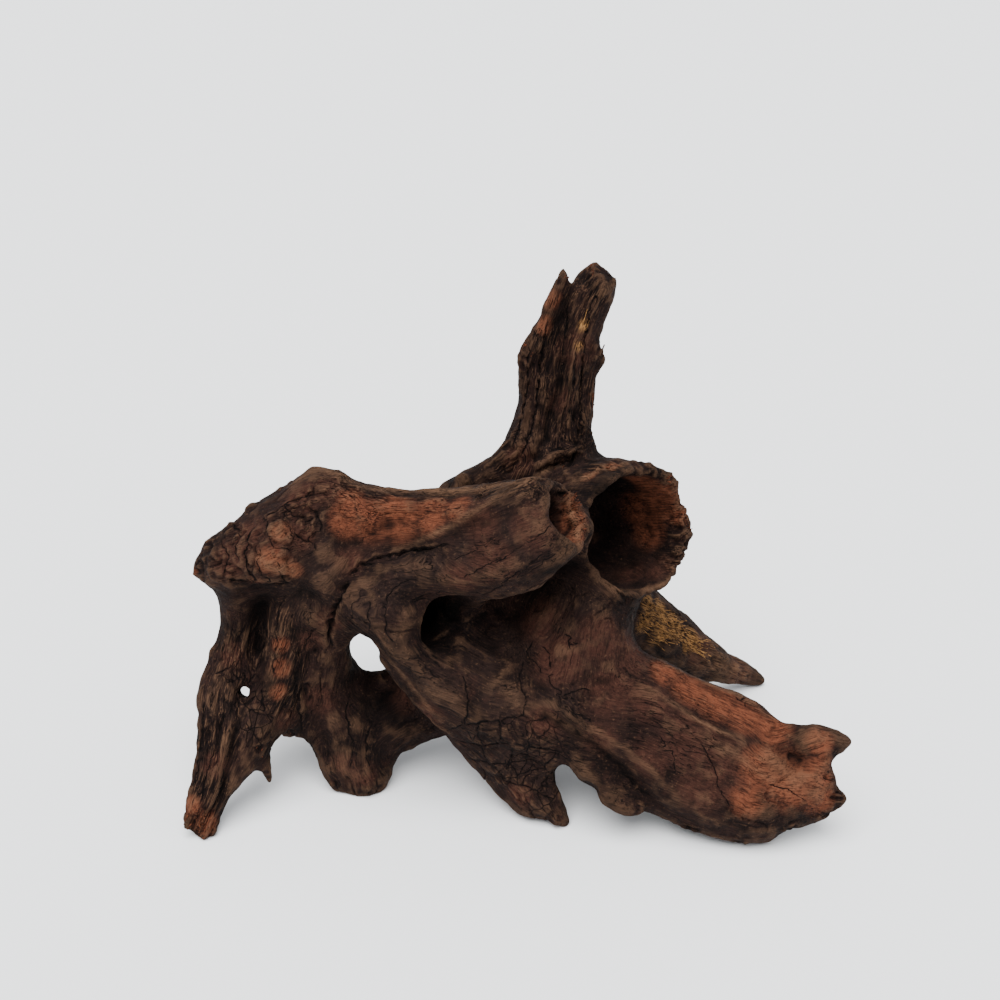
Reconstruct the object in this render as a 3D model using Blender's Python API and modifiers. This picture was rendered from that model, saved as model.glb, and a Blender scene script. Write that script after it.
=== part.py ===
"""A weathered ebony driftwood stump, one solid piece of wood.

The stump stands on its roots: a knotty head on the left with a long leg below it, an arm that runs
right to a broken stub, a hollow broken trunk end beside the stub, a split spire behind them, a broad
root that runs forwards to the right, a pointed foot, a low root behind on the right, and one behind
on the left. Lengths in the tables are millimetres; +X is right, +Y is back, +Z is up.
"""

import math

import bmesh
import bpy
import numpy as np
from mathutils import Vector, noise

MM = 0.001

# The stump's face is the side that looks forwards and a little up. Limb widths are measured across it.
FACE_TILT = math.radians(25.0)
FACE = Vector((0.0, -math.cos(FACE_TILT), math.sin(FACE_TILT)))

# Steps of the modelling, in millimetres.
FUSE_VOXEL = 2.4
HOLLOW_VOXEL = 1.6
FILLET = 7.0
RING_POINTS = 20
STEPS_PER_STATION = 6
FINAL_TRIANGLES = 11000
MERGE_GAP = 0.2
STEPS_PER_PRESS = 8
FILLET_SOFTENING = (0.5, 3)
RIM_SOFTENING = (0.4, 1)

# Weathering, in millimetres: height of the relief, its width across the grain, its length along it.
FLUTE_HEIGHT = 4.0
FLUTE_WIDTH = 13.0
FLUTE_LENGTH = 85.0
LUMP_HEIGHT = 1.6
LUMP_WIDTH = 24.0
STEPS_PER_FLUTE = 3

# How sharply one limb's grain gives way to the next, the least share that counts, and how far apart the
# limbs' noise patterns are taken.
GRAIN_SHARPNESS = 6.0
LEAST_SHARE = 0.03
PATTERN_STEP = 17.0

# Each limb is a list of stations: x, y, z of its centre, half its width across the face, half its depth.
LIMBS = {
    "arm": [
        (-163, -8, 143, 25, 33),
        (-131, -10, 161, 34, 37),
        (-100, -14, 162, 35, 37),
        (-70, -22, 163, 33, 35),
        (-39, -32, 168, 34, 33),
        (-10, -44, 178, 34, 31),
        (12, -56, 194, 28, 27),
        (26, -64, 205, 23, 23),
    ],
    "brow": [
        (-192, -8, 138, 6, 14),
        (-181, -10, 142, 17, 26),
        (-165, -12, 148, 24, 34),
        (-141, -12, 154, 27, 36),
        (-119, -12, 167, 30, 36),
    ],
    "peak": [(-137, -10, 174, 13, 20), (-117, -12, 197, 12, 17), (-98, -14, 188, 12, 20)],
    "outer_leg": [
        (-167, -12, 134, 17, 24),
        (-169, -22, 112, 10, 17),
        (-175, -30, 92, 12, 15),
        (-181, -44, 76, 12, 14),
        (-183, -56, 55, 12, 13),
        (-187, -68, 34, 12, 11),
        (-194, -80, 17, 9, 8),
        (-199, -87, 3, 5, 5),
    ],
    "inner_leg": [
        (-133, -14, 122, 26, 26),
        (-142, -22, 98, 21, 22),
        (-148, -34, 76, 15, 18),
        (-157, -44, 57, 16, 15),
        (-166, -55, 43, 15, 12),
        (-174, -68, 30, 11, 9),
        (-182, -80, 17, 8, 7),
        (-187, -90, -2, 5, 6),
    ],
    "web": [
        (-113, -20, 129, 24, 28),
        (-118, -21, 94, 20, 22),
        (-126, -24, 61, 21, 18),
        (-137, -26, 35, 16, 10),
    ],
    "lobe_fall": [
        (-125, -8, 82, 19, 18),
        (-114, -22, 54, 21, 20),
        (-104, -32, 29, 24, 18),
        (-99, -37, 14, 22, 15),
        (-99, -38, -2, 17, 13),
    ],
    "lobe_rise": [
        (-102, -30, 29, 22, 17),
        (-77, -16, 42, 28, 18),
        (-52, 2, 41, 28, 22),
        (-23, 15, 60, 33, 26),
    ],
    "trunk": [
        (-107, -12, 148, 28, 36),
        (-76, -20, 132, 30, 36),
        (-48, -28, 101, 37, 36),
        (-16, -34, 76, 42, 38),
        (27, -42, 65, 43, 38),
        (72, -54, 56, 45, 34),
        (111, -68, 45, 44, 29),
        (143, -80, 37, 41, 22),
        (168, -86, 41, 29, 14),
        (187, -88, 36, 15, 8),
    ],
    "root_toe": [(150, -82, 30, 24, 14), (172, -87, 29, 20, 10), (187, -89, 33, 13, 7), (193, -89, 37, 5, 4)],
    "prong": [
        (148, -84, 54, 18, 12),
        (164, -81, 63, 12, 10),
        (177, -78, 64, 10, 9),
        (189, -76, 61, 8, 7),
        (197, -75, 59, 6, 5),
        (201, -75, 57, 5, 4),
    ],
    "strap": [(-112, -26, 166, 26, 26), (-88, -36, 150, 28, 24), (-66, -42, 126, 27, 23), (-44, -42, 100, 28, 24)],
    "throat": [(54, 0, 132, 25, 30), (40, -22, 110, 34, 34), (36, -36, 84, 50, 34)],
    "centre_foot": [
        (-17, -38, 53, 31, 28),
        (-3, -50, 31, 22, 22),
        (11, -64, 15, 17, 16),
        (24, -74, 6, 9, 11),
        (31, -79, -2, 5, 7),
    ],
    "cup": [(30, 44, 137, 42, 44), (52, 12, 157, 44, 45), (77, -16, 171, 40, 43)],
    "spire": [
        (19, 32, 118, 43, 34),
        (14, 44, 159, 36, 26),
        (19, 50, 191, 28, 19),
        (23, 52, 218, 25, 16),
        (26, 54, 241, 23, 14),
        (32, 55, 266, 22, 12),
        (42, 56, 288, 17, 11),
        (48, 56, 301, 14, 9),
        (51, 56, 310, 11, 7),
    ],
    "left_flare": [(2, 45, 194, 12, 14), (-15, 42, 180, 9, 12), (-34, 38, 172, 8, 11), (-48, 30, 163, 8, 12)],
    "right_flare": [(39, 52, 213, 8, 12), (45, 50, 190, 8, 13), (54, 46, 160, 12, 16)],
    "fin": [
        (58, 18, 95, 32, 26),
        (91, 40, 67, 24, 20),
        (121, 55, 41, 18, 15),
        (153, 70, 18, 11, 10),
        (181, 80, 1, 4, 5),
    ],
    "crown": [(-76, 4, 126, 29, 36), (-23, 14, 112, 36, 40), (29, 20, 99, 37, 40), (54, 12, 90, 27, 32)],
    "rear_root": [(-110, 6, 122, 24, 26), (-134, 32, 74, 17, 18), (-148, 50, 26, 12, 12), (-153, 57, -3, 8, 9)],
}

# Thin limbs, joined on once the thick ones have melted together.
THIN_LIMBS = {
    "under_ridge": [(20, -66, 63, 13, 12), (44, -80, 41, 12, 10), (61, -88, 27, 8, 8), (75, -92, 18, 4, 5)],
    "splinter": [(13, 50, 260, 10, 8), (20, 50, 280, 7, 6), (26, 50, 297, 5.5, 5), (32, 50, 314, 4, 4)],
    "bark_edge": [(8, 50, 236, 7, 6), (6, 50, 249, 7, 6), (6, 50, 262, 6, 6), (13, 50, 275, 4, 4)],
    "barb": [(45, 54, 250, 6, 6), (56, 54, 256, 3, 3)],
    "curl": [(-3, 10, 192, 4, 5), (18, 0, 209, 6, 5), (42, -6, 216, 5, 5)],
    "knob": [(-32, 30, 172, 5, 7), (-38, 28, 181, 5, 6)],
    "twig": [(-159, -56, 52, 7, 7), (-155, -56, 32, 4, 4), (-152, -56, 13, 3.5, 3.5)],
    "web_tooth": [(-144, -28, 44, 8, 7), (-147, -30, 32, 4, 4)],
    "bent_tooth": [(-175, -62, 40, 8, 7), (-166, -60, 33, 4, 4), (-164, -60, 27, 3, 3)],
}

# Hollows cut into the wood, written as limbs are.
HOLLOWS = {
    "cup_hollow": [(42, 27, 148, 20, 22), (52, 12, 157, 33, 34), (74, -18, 170, 36, 38), (90, -46, 186, 42, 43)],
    "stub_pocket": [(2, -50, 187, 6, 6), (23, -62, 202, 16, 12), (39, -70, 213, 21, 15)],
    "window": [(-93, -80, 121, 10, 11), (-93, -10, 88, 11, 11), (-92, 30, 67, 16, 17), (-91, 80, 41, 20, 22)],
    "leg_gap": [(-166, -90, 96, 5, 4), (-166, -20, 63, 5, 5), (-166, 30, 40, 6, 6)],
    "recess": [
        (26, -104, 132, 24, 12),
        (-8, -80, 130, 23, 13),
        (-34, -58, 128, 21, 14),
        (-54, -36, 124, 17, 13),
        (-68, -12, 116, 9, 9),
    ],
    "eye": [(163, -76, 44, 7, 3.5), (163, -92, 56, 9, 3.5), (163, -116, 73, 11, 5)],
    "tip_gap": [(-190, -120, 30, 2.5, 7), (-190, -50, -2, 2.5, 8)],
    "end_notch": [(194.5, -122, 78, 10.5, 6.5), (194.5, -42, 19, 10.5, 6.5)],
    "spire_split": [(36, 55, 322, 2.4, 18), (31, 54, 303, 2.2, 18), (26, 53, 285, 1.8, 18)],
    "foot_gap": [(26, -130, 74, 7, 10), (33, -20, -8, 7, 10)],
    "toe_gap": [(35, -130, 62, 11, 9), (42, -20, -23, 11, 9)],
    "low_step": [(164, -125, 28, 11, 6), (164, -45, -38, 11, 6)],
    "end_step": [(183, -125, 34, 12, 6), (183, -45, -31, 12, 6)],
}

# Grooves and swellings of the face: how far the surface is pressed in, how wide, and the path.
PRESSES = [
    (7, 5, [(-56, -48, 177), (-82, -48, 168), (-95, -48, 161), (-99, -48, 152), (-108, -48, 136), (-110, -48, 119)]),
    (9, 10, [(-104, -30, 60), (-92, -30, 78), (-76, -30, 68)]),
    (6, 9, [(72, -90, 122), (104, -90, 99), (140, -90, 79), (156, -90, 68)]),
    (-4, 6, [(54, -90, 116), (88, -90, 88), (124, -90, 68), (150, -90, 58)]),
    (6, 5, [(18, -66, 72), (44, -66, 50), (62, -66, 34), (76, -66, 22)]),
    (7, 6, [(-152, -45, 140), (-156, -45, 112), (-158, -45, 83)]),
    (6, 4, [(-167, -45, 69), (-182, -45, 47), (-189, -60, 20)]),
    (6, 5, [(-124, -30, 106), (-122, -30, 84), (-126, -30, 62)]),
    (6, 4, [(26, 44, 289), (24, 44, 264), (22, 44, 231)]),
    (-5, 9, [(-144, -50, 184), (-136, -50, 170)]),
    (-4, 7, [(-158, -50, 168), (-150, -50, 160)]),
    (5, 5, [(-168, -45, 160), (-152, -45, 150), (-140, -45, 150)]),
    (4, 4, [(-93, -50, 178), (-68, -50, 190), (-41, -50, 201)]),
    (6, 7, [(26, -60, 46), (28, -60, 32)]),
    (-5, 6, [(-60, -60, 196), (-46, -66, 202), (-20, -66, 213), (6, -66, 226)]),
    (8, 13, [(-94, -50, 184), (-68, -50, 186), (-40, -56, 188), (-12, -66, 196)]),
    (7, 15, [(-46, -60, 126), (-32, -60, 120)]),
    (8, 9, [(-40, -60, 138), (-26, -60, 140)]),
]
PRESS_REACH = 42.0
PRESS_FADE = 10.0

# Broken rims: centre, the way the break faces, its radius, the height of its teeth and their width.
BREAKS = [
    ((72, -20, 176), (0.48, -0.74, 0.46), 56, 5.0, 11.0),
    ((30, -65, 206), (0.7, -0.3, 0.5), 30, 3.5, 8.0),
    ((48, 56, 306), (0.4, 0.0, 0.9), 22, 5.0, 7.0),
    ((192, -86, 42), (1.0, 0.0, 0.1), 30, 3.0, 9.0),
]
# The teeth fade out near the radius, and behind the rim at this many times their height.
BREAK_FADE = 8.0
TEETH_DEPTH = 2.5


def catmull_rom(stations, steps):
    """The stations with smooth in-between ones added; rows of x, y, z, half width, half depth."""
    rows = np.array(stations, float)
    padded = np.vstack([2 * rows[0] - rows[1], rows, 2 * rows[-1] - rows[-2]])
    smooth = []
    for index in range(1, len(rows)):
        before, start, end, after = padded[index - 1 : index + 3]
        for step in range(steps):
            t = step / steps
            smooth.append(
                start
                + 0.5 * t * (end - before)
                + t * t * (before - 2.5 * start + 2 * end - 0.5 * after)
                + t**3 * (1.5 * (start - end) + 0.5 * (after - before))
            )
    smooth.append(rows[-1])
    smooth = np.array(smooth)
    least = rows[:, 3:].min(axis=0)
    smooth[:, 3:] = np.maximum(smooth[:, 3:], least)
    return smooth


def section_frames(rows):
    """For each row the directions along the limb, across its face and through its depth."""
    ahead = np.gradient(rows[:, :3], axis=0)
    ahead /= np.linalg.norm(ahead, axis=1)[:, None]
    across = np.cross(ahead, np.array(FACE))
    across /= np.linalg.norm(across, axis=1)[:, None]
    through = np.cross(across, ahead)
    return ahead, across, through


def sweep(name, stations):
    """A closed tube of oval sections through the stations."""
    rows = catmull_rom(stations, STEPS_PER_STATION)
    _, across, through = section_frames(rows)
    bm = bmesh.new()
    rings = []
    for row, side, deep in zip(rows, across, through):
        ring = []
        for index in range(RING_POINTS):
            angle = 2 * math.pi * index / RING_POINTS
            point = row[:3] + side * row[3] * math.cos(angle) + deep * row[4] * math.sin(angle)
            ring.append(bm.verts.new(point))
        rings.append(ring)
    for lower, upper in zip(rings, rings[1:]):
        for index in range(RING_POINTS):
            following = (index + 1) % RING_POINTS
            bm.faces.new((lower[index], lower[following], upper[following], upper[index]))
    bm.faces.new(rings[0][::-1])
    bm.faces.new(rings[-1])
    bmesh.ops.recalc_face_normals(bm, faces=bm.faces)
    mesh = bpy.data.meshes.new(name)
    bm.to_mesh(mesh)
    bm.free()
    return mesh


def linked(name, mesh, collection):
    obj = bpy.data.objects.new(name, mesh)
    collection.objects.link(obj)
    return obj


def joined(name, meshes, collection):
    """One object that holds all the meshes."""
    bm = bmesh.new()
    for mesh in meshes:
        bm.from_mesh(mesh)
    mesh = bpy.data.meshes.new(name)
    bm.to_mesh(mesh)
    bm.free()
    return linked(name, mesh, collection)


def apply_modifiers(obj):
    """Replaces the object's mesh by the result of its modifiers."""
    graph = bpy.context.evaluated_depsgraph_get()
    mesh = bpy.data.meshes.new_from_object(obj.evaluated_get(graph))
    obj.modifiers.clear()
    obj.data = mesh


def remesh(obj, voxel):
    """Melts overlapping tubes into one skin of even cells."""
    melt = obj.modifiers.new("melt", "REMESH")
    melt.mode = "VOXEL"
    melt.voxel_size = voxel
    apply_modifiers(obj)


def swell(obj, distance):
    """Moves the skin out by the distance, or in where it is negative."""
    offset = obj.modifiers.new("swell", "DISPLACE")
    offset.mid_level = 0.0
    offset.strength = distance
    apply_modifiers(obj)


def soften(obj, factor, rounds):
    smooth = obj.modifiers.new("soften", "SMOOTH")
    smooth.factor = factor
    smooth.iterations = rounds
    apply_modifiers(obj)


def cut(obj, cutter):
    boolean = obj.modifiers.new("cut", "BOOLEAN")
    boolean.operation = "DIFFERENCE"
    boolean.object = cutter
    apply_modifiers(obj)
    bpy.data.objects.remove(cutter)


def points_of(obj):
    points = np.empty(len(obj.data.vertices) * 3)
    obj.data.vertices.foreach_get("co", points)
    return points.reshape(-1, 3)


def normals_of(obj):
    normals = np.empty(len(obj.data.vertices) * 3)
    obj.data.vertex_normals.foreach_get("vector", normals)
    return normals.reshape(-1, 3)


def set_points(obj, points):
    obj.data.vertices.foreach_set("co", points.ravel())
    obj.data.update()


def relief(points):
    """Smooth noise from -1 to 1 at each point."""
    return np.array([noise.noise(Vector(point)) for point in points])


def limb_grain(points):
    """For each point and limb: how much the limb counts there, and the place across, through and along it."""
    closeness = []
    places = []
    for stations in LIMBS.values():
        rows = catmull_rom(stations, STEPS_PER_FLUTE)
        ahead, across, through = section_frames(rows)
        gaps = points[:, None, :] - rows[None, :, :3]
        reach = np.linalg.norm(gaps, axis=2) / rows[None, :, 3:].mean(axis=2)
        nearest = reach.argmin(axis=1)
        each = np.arange(len(points))
        steps = np.linalg.norm(np.diff(rows[:, :3], axis=0), axis=1)
        travelled = np.concatenate([[0.0], np.cumsum(steps)])
        gap = gaps[each, nearest]
        closeness.append(reach[each, nearest])
        places.append(
            np.stack(
                [
                    (gap * across[nearest]).sum(axis=1),
                    (gap * through[nearest]).sum(axis=1),
                    travelled[nearest] + (gap * ahead[nearest]).sum(axis=1),
                ],
                axis=1,
            )
        )
    closeness = np.array(closeness)
    weights = np.exp(-GRAIN_SHARPNESS * (closeness - closeness.min(axis=0)))
    weights /= weights.sum(axis=0)
    return weights, places


def weather(obj):
    """Raises flutes along the grain of each limb, and low lumps all over."""
    points = points_of(obj)
    height = LUMP_HEIGHT * relief(points / LUMP_WIDTH)
    weights, places = limb_grain(points)
    scale = np.array([FLUTE_WIDTH, FLUTE_WIDTH, FLUTE_LENGTH])
    for number, (weight, place) in enumerate(zip(weights, places)):
        counted = np.nonzero(weight > LEAST_SHARE)[0]
        shifted = place[counted] / scale + PATTERN_STEP * (number + 1)
        height[counted] += FLUTE_HEIGHT * weight[counted] * relief(shifted)
    set_points(obj, points + normals_of(obj) * height[:, None])


def press(obj, depth, width, path):
    """Presses a groove of rounded section into the face along the path."""
    points = points_of(obj)
    face = np.array(FACE)
    flat = points - (points @ face)[:, None] * face
    route = np.array(path, float)
    fine = catmull_rom(np.hstack([route, np.ones((len(route), 2))]), STEPS_PER_PRESS)[:, :3]
    fine_depth = fine @ face
    fine_flat = fine - fine_depth[:, None] * face
    gaps = np.linalg.norm(flat[:, None, :] - fine_flat[None, :, :], axis=2)
    nearest = gaps.argmin(axis=1)
    gap = gaps[np.arange(len(points)), nearest]
    behind = np.abs(points @ face - fine_depth[nearest])
    falloff = np.exp(-((gap / width) ** 2)) * np.clip((PRESS_REACH - behind) / PRESS_FADE, 0.0, 1.0)
    facing = np.clip(normals_of(obj) @ face * 2.0, 0.0, 1.0)
    set_points(obj, points - face * (depth * falloff * facing)[:, None])


def fray(obj, centre, facing, radius, height, width):
    """Moves the broken rim forwards and back in teeth."""
    points = points_of(obj)
    way = np.array(facing) / np.linalg.norm(facing)
    offset = points - np.array(centre, float)
    ahead = offset @ way
    sideways = offset - ahead[:, None] * way
    inside = np.clip((radius - np.linalg.norm(sideways, axis=1)) / BREAK_FADE, 0.0, 1.0)
    depth = TEETH_DEPTH * height
    near_rim = np.clip((ahead + depth) / depth, 0.0, 1.0)
    teeth = 2.0 * relief(sideways / width + len(BREAKS))
    set_points(obj, points + way * (height * inside * near_rim * teeth)[:, None])


def keep_largest_body(obj):
    """Drops loose scraps and leaves the one body with the most points."""
    bm = bmesh.new()
    bm.from_mesh(obj.data)
    bodies = []
    waiting = set(bm.verts)
    while waiting:
        start = waiting.pop()
        body = [start]
        for vert in body:
            for edge in vert.link_edges:
                other = edge.other_vert(vert)
                if other in waiting:
                    waiting.discard(other)
                    body.append(other)
        bodies.append(body)
    bodies.sort(key=len)
    scraps = [vert for body in bodies[:-1] for vert in body]
    bmesh.ops.delete(bm, geom=scraps, context="VERTS")
    bm.to_mesh(obj.data)
    bm.free()


def thin_out(obj, triangles):
    """Fewer triangles, with the small ones kept where the surface bends most."""
    obj.data.calc_loop_triangles()
    decimate = obj.modifiers.new("thin out", "DECIMATE")
    decimate.ratio = triangles / len(obj.data.loop_triangles)
    decimate.use_collapse_triangulate = True
    apply_modifiers(obj)


def merge_slivers(obj):
    """Merges points that nearly coincide, and sets those beside the ground level with it."""
    bm = bmesh.new()
    bm.from_mesh(obj.data)
    bmesh.ops.triangulate(bm, faces=bm.faces)
    bmesh.ops.remove_doubles(bm, verts=bm.verts, dist=MERGE_GAP)
    bmesh.ops.dissolve_degenerate(bm, dist=MERGE_GAP / 4, edges=bm.edges)
    bmesh.ops.triangulate(bm, faces=bm.faces)
    for vert in bm.verts:
        if vert.co.z < MERGE_GAP:
            vert.co.z = 0.0
    bm.to_mesh(obj.data)
    bm.free()


def stand_flat(obj, cutters):
    """Cuts the feet level with the ground."""
    side = 600.0
    bm = bmesh.new()
    bmesh.ops.create_cube(bm, size=side)
    bmesh.ops.translate(bm, verts=bm.verts, vec=(0.0, 0.0, -side / 2))
    ground = bpy.data.meshes.new("ground")
    bm.to_mesh(ground)
    bm.free()
    cut(obj, linked("ground", ground, cutters))


def settle(obj):
    """Puts the middle of the stump's footprint at the origin, and turns millimetres to metres."""
    points = points_of(obj)
    low = points.min(axis=0)
    high = points.max(axis=0)
    centre = np.array([(low[0] + high[0]) / 2, (low[1] + high[1]) / 2, low[2]])
    set_points(obj, (points - centre) * MM)


def weathered_ebony():
    material = bpy.data.materials.new("weathered ebony")
    material.use_nodes = True
    surface = material.node_tree.nodes["Principled BSDF"]
    surface.inputs["Base Color"].default_value = (0.041, 0.023, 0.018, 1.0)
    surface.inputs["Roughness"].default_value = 0.78
    surface.inputs["Metallic"].default_value = 0.0
    return material


def grown_masses(collection):
    """The thick limbs in one skin, with a fillet in each crotch: the skin swells, melts and shrinks back."""
    masses = joined("masses", [sweep(name, stations) for name, stations in LIMBS.items()], collection)
    remesh(masses, FUSE_VOXEL)
    swell(masses, FILLET)
    remesh(masses, FUSE_VOXEL)
    swell(masses, -FILLET)
    remesh(masses, FUSE_VOXEL)
    soften(masses, *FILLET_SOFTENING)
    return masses


def main():
    for obj in list(bpy.data.objects):
        bpy.data.objects.remove(obj)
    parts = bpy.data.collections.new("ebony_log")
    cutters = bpy.data.collections.new("cutters")
    bpy.context.scene.collection.children.link(parts)
    bpy.context.scene.collection.children.link(cutters)

    masses = grown_masses(parts)
    thin = [sweep(name, stations) for name, stations in THIN_LIMBS.items()]
    log = joined("log", [masses.data, *thin], parts)
    bpy.data.objects.remove(masses)
    remesh(log, FUSE_VOXEL)
    weather(log)
    for depth, width, path in PRESSES:
        press(log, depth, width, path)
    remesh(log, FUSE_VOXEL)

    hollows = joined("hollows", [sweep(name, stations) for name, stations in HOLLOWS.items()], cutters)
    remesh(hollows, HOLLOW_VOXEL)
    cut(log, hollows)
    remesh(log, FUSE_VOXEL)
    for rim in BREAKS:
        fray(log, *rim)
    remesh(log, FUSE_VOXEL)
    soften(log, *RIM_SOFTENING)
    keep_largest_body(log)
    thin_out(log, FINAL_TRIANGLES)
    stand_flat(log, cutters)
    merge_slivers(log)
    settle(log)

    log.data.shade_smooth()
    log.data.materials.append(weathered_ebony())


main()
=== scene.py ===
import math

import bmesh
import bpy
import numpy as np
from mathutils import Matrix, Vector, noise
from mathutils.bvhtree import BVHTree


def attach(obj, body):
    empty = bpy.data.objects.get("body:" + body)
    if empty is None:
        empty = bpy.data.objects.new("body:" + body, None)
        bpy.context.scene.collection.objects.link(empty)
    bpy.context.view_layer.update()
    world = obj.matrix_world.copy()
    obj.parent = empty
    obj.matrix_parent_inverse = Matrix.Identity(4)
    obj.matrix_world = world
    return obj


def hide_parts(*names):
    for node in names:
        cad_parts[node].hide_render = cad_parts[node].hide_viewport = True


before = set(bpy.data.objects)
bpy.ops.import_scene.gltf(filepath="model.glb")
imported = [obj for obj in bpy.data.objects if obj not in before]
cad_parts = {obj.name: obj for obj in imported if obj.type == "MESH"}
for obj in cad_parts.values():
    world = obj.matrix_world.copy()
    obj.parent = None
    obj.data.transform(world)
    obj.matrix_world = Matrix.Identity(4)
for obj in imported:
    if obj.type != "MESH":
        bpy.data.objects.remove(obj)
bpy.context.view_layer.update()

# The camera.
# It stands where the photograph was taken from, 0.8 m from the stump and looking 25 degrees down. The wood's
# marks further on are given as they lie in the photograph, so the camera comes first.

MM = 0.001
LOOKING_DOWN = math.radians(25)
CAMERA_PLACE = np.array([-9.4, -714.0, 521.1])
IMAGE_SIZE = 1000
FOCAL_PIXELS = 1320
SENSOR_MM = 36.0

camera_data = bpy.data.cameras.new("camera")
camera_data.sensor_width = SENSOR_MM
camera_data.lens = SENSOR_MM * FOCAL_PIXELS / IMAGE_SIZE
camera = bpy.data.objects.new("camera", camera_data)
camera.location = CAMERA_PLACE * MM
camera.rotation_euler = (math.radians(90) - LOOKING_DOWN, 0.0, 0.0)
bpy.context.scene.collection.objects.link(camera)
bpy.context.scene.camera = camera

# The stump's skin.
# The real piece is one dead root stump, dark tropical hardwood dried and worn by water and sand. It grew
# whole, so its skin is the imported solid's own form, made even enough to carry the fine relief.

SKIN_CELL = 0.95
SKIN_TRIANGLES = 198000


def link_piece(name, mesh):
    piece = bpy.data.objects.new(name, mesh)
    bpy.context.scene.collection.objects.link(piece)
    return piece


def evaluated(obj):
    """Replaces the object's mesh by what its modifiers make of it."""
    graph = bpy.context.evaluated_depsgraph_get()
    obj.data = bpy.data.meshes.new_from_object(obj.evaluated_get(graph))
    obj.modifiers.clear()


merged = bmesh.new()
merged.from_mesh(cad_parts["log"].data)
bmesh.ops.remove_doubles(merged, verts=merged.verts, dist=0.01 * MM)
skin_mesh = bpy.data.meshes.new("weathered_log")
merged.to_mesh(skin_mesh)
merged.free()
log = link_piece("weathered_log", skin_mesh)

rounding = log.modifiers.new("rounding", "SUBSURF")
rounding.levels = 1
rounding.render_levels = 1
evening = log.modifiers.new("evening", "REMESH")
evening.mode = "VOXEL"
evening.voxel_size = SKIN_CELL * MM
easing = log.modifiers.new("easing", "SMOOTH")
easing.factor = 0.5
easing.iterations = 5
evaluated(log)


def points_of(mesh):
    """The mesh's points in millimetres."""
    points = np.empty(len(mesh.vertices) * 3, np.float32)
    mesh.vertices.foreach_get("co", points)
    return points.reshape(-1, 3).astype(float) / MM


def normals_of(mesh):
    normals = np.empty(len(mesh.vertices) * 3, np.float32)
    mesh.vertex_normals.foreach_get("vector", normals)
    return normals.reshape(-1, 3).astype(float)


def place_points(mesh, points):
    mesh.vertices.foreach_set("co", (points * MM).astype(np.float32).ravel())
    mesh.update()


def unit(vectors):
    return vectors / np.linalg.norm(vectors, axis=-1, keepdims=True)


def step_up(values, low, high):
    """0 below low, 1 above high, smooth between."""
    part = np.clip((values - low) / (high - low), 0.0, 1.0)
    return part * part * (3.0 - 2.0 * part)


# Places on the wood.
# Every mark on the stump is given by the pixel where the photograph shows it, and its size in millimetres.
# The camera's line of sight carries it onto the wood, so it lies on the surface from any side.

AHEAD = np.array([0.0, math.cos(LOOKING_DOWN), -math.sin(LOOKING_DOWN)])
UPWARD = np.array([0.0, math.sin(LOOKING_DOWN), math.cos(LOOKING_DOWN)])
RIGHTWARD = np.array([1.0, 0.0, 0.0])
STROKE_STEP = 2.0

bare_wood = BVHTree.FromObject(log, bpy.context.evaluated_depsgraph_get())


def seen(column, row):
    """The place on the wood that the photograph shows at a pixel, in millimetres, or None beside the wood."""
    middle = IMAGE_SIZE / 2
    sight = AHEAD * FOCAL_PIXELS + RIGHTWARD * (column - middle) + UPWARD * (middle - row)
    place, *_ = bare_wood.ray_cast(Vector(CAMERA_PLACE * MM), Vector(sight).normalized())
    return None if place is None else np.array(place) / MM


def drawn(corners):
    """A smooth line over the wood through the pixels, in millimetres."""
    corners = np.array(corners, float)
    ends = np.vstack([2 * corners[0] - corners[1], corners, 2 * corners[-1] - corners[-2]])
    places = []
    for before, start, end, after in zip(ends, ends[1:], ends[2:], ends[3:]):
        count = max(2, int(np.linalg.norm(end - start) / STROKE_STEP))
        for part in np.arange(count) / count:
            bend = (end - before) * part
            bend = bend + (2 * before - 5 * start + 4 * end - after) * part**2
            bend = bend + (3 * start - before - 3 * end + after) * part**3
            places.append(seen(*(start + 0.5 * bend)))
    places.append(seen(*corners[-1]))
    return np.array([place for place in places if place is not None])


def beside(points, path, reach):
    """Of the points within reach of the line: which they are, how far off, on which side, how far along."""
    low = path.min(axis=0) - reach
    high = path.max(axis=0) + reach
    which = np.flatnonzero(((points > low) & (points < high)).all(axis=1))
    chosen = points[which]
    distance = np.full(len(which), np.inf)
    side = np.zeros(len(which))
    along = np.zeros(len(which))
    for number, (start, end) in enumerate(zip(path, path[1:])):
        run = end - start
        part = np.clip((chosen - start) @ run / max(run @ run, 1e-9), 0.0, 1.0)
        gap = chosen - start - part[:, None] * run
        away = np.linalg.norm(gap, axis=1)
        closer = away < distance
        distance[closer] = away[closer]
        side[closer] = (gap @ unit(np.cross(AHEAD, run)))[closer]
        along[closer] = (number + part[closer]) / (len(path) - 1)
    close = distance < reach
    return which[close], distance[close], side[close], along[close]


def bell(distance, width):
    """1 where the distance is nothing, falling smoothly to nothing by about twice the width."""
    return np.exp(-((distance / width) ** 2))


def fading(along, quickness, least=0.0):
    """1 along a line's middle, fading to the least at its ends; the quicker, the shorter the stretch."""
    return np.clip(np.minimum(along, 1.0 - along) * quickness, least, 1.0)


def spots(points, places):
    """1 within each place's radius, fading to 0 outside it; places are column, row, radius in millimetres."""
    most = np.zeros(len(points))
    for column, row, radius in places:
        middle = seen(column, row)
        if middle is None:
            continue
        gap = np.linalg.norm(points - middle, axis=1)
        most = np.maximum(most, 1.0 - step_up(gap, 0.5 * radius, 1.4 * radius))
    return most


# The worn forms.
# Water has dished the arm and the broad root, and rot has eaten in under the arm. Each form is a line with
# its width and its depth in millimetres: presses go in away from the viewer, and minus raises a ridge.

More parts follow.
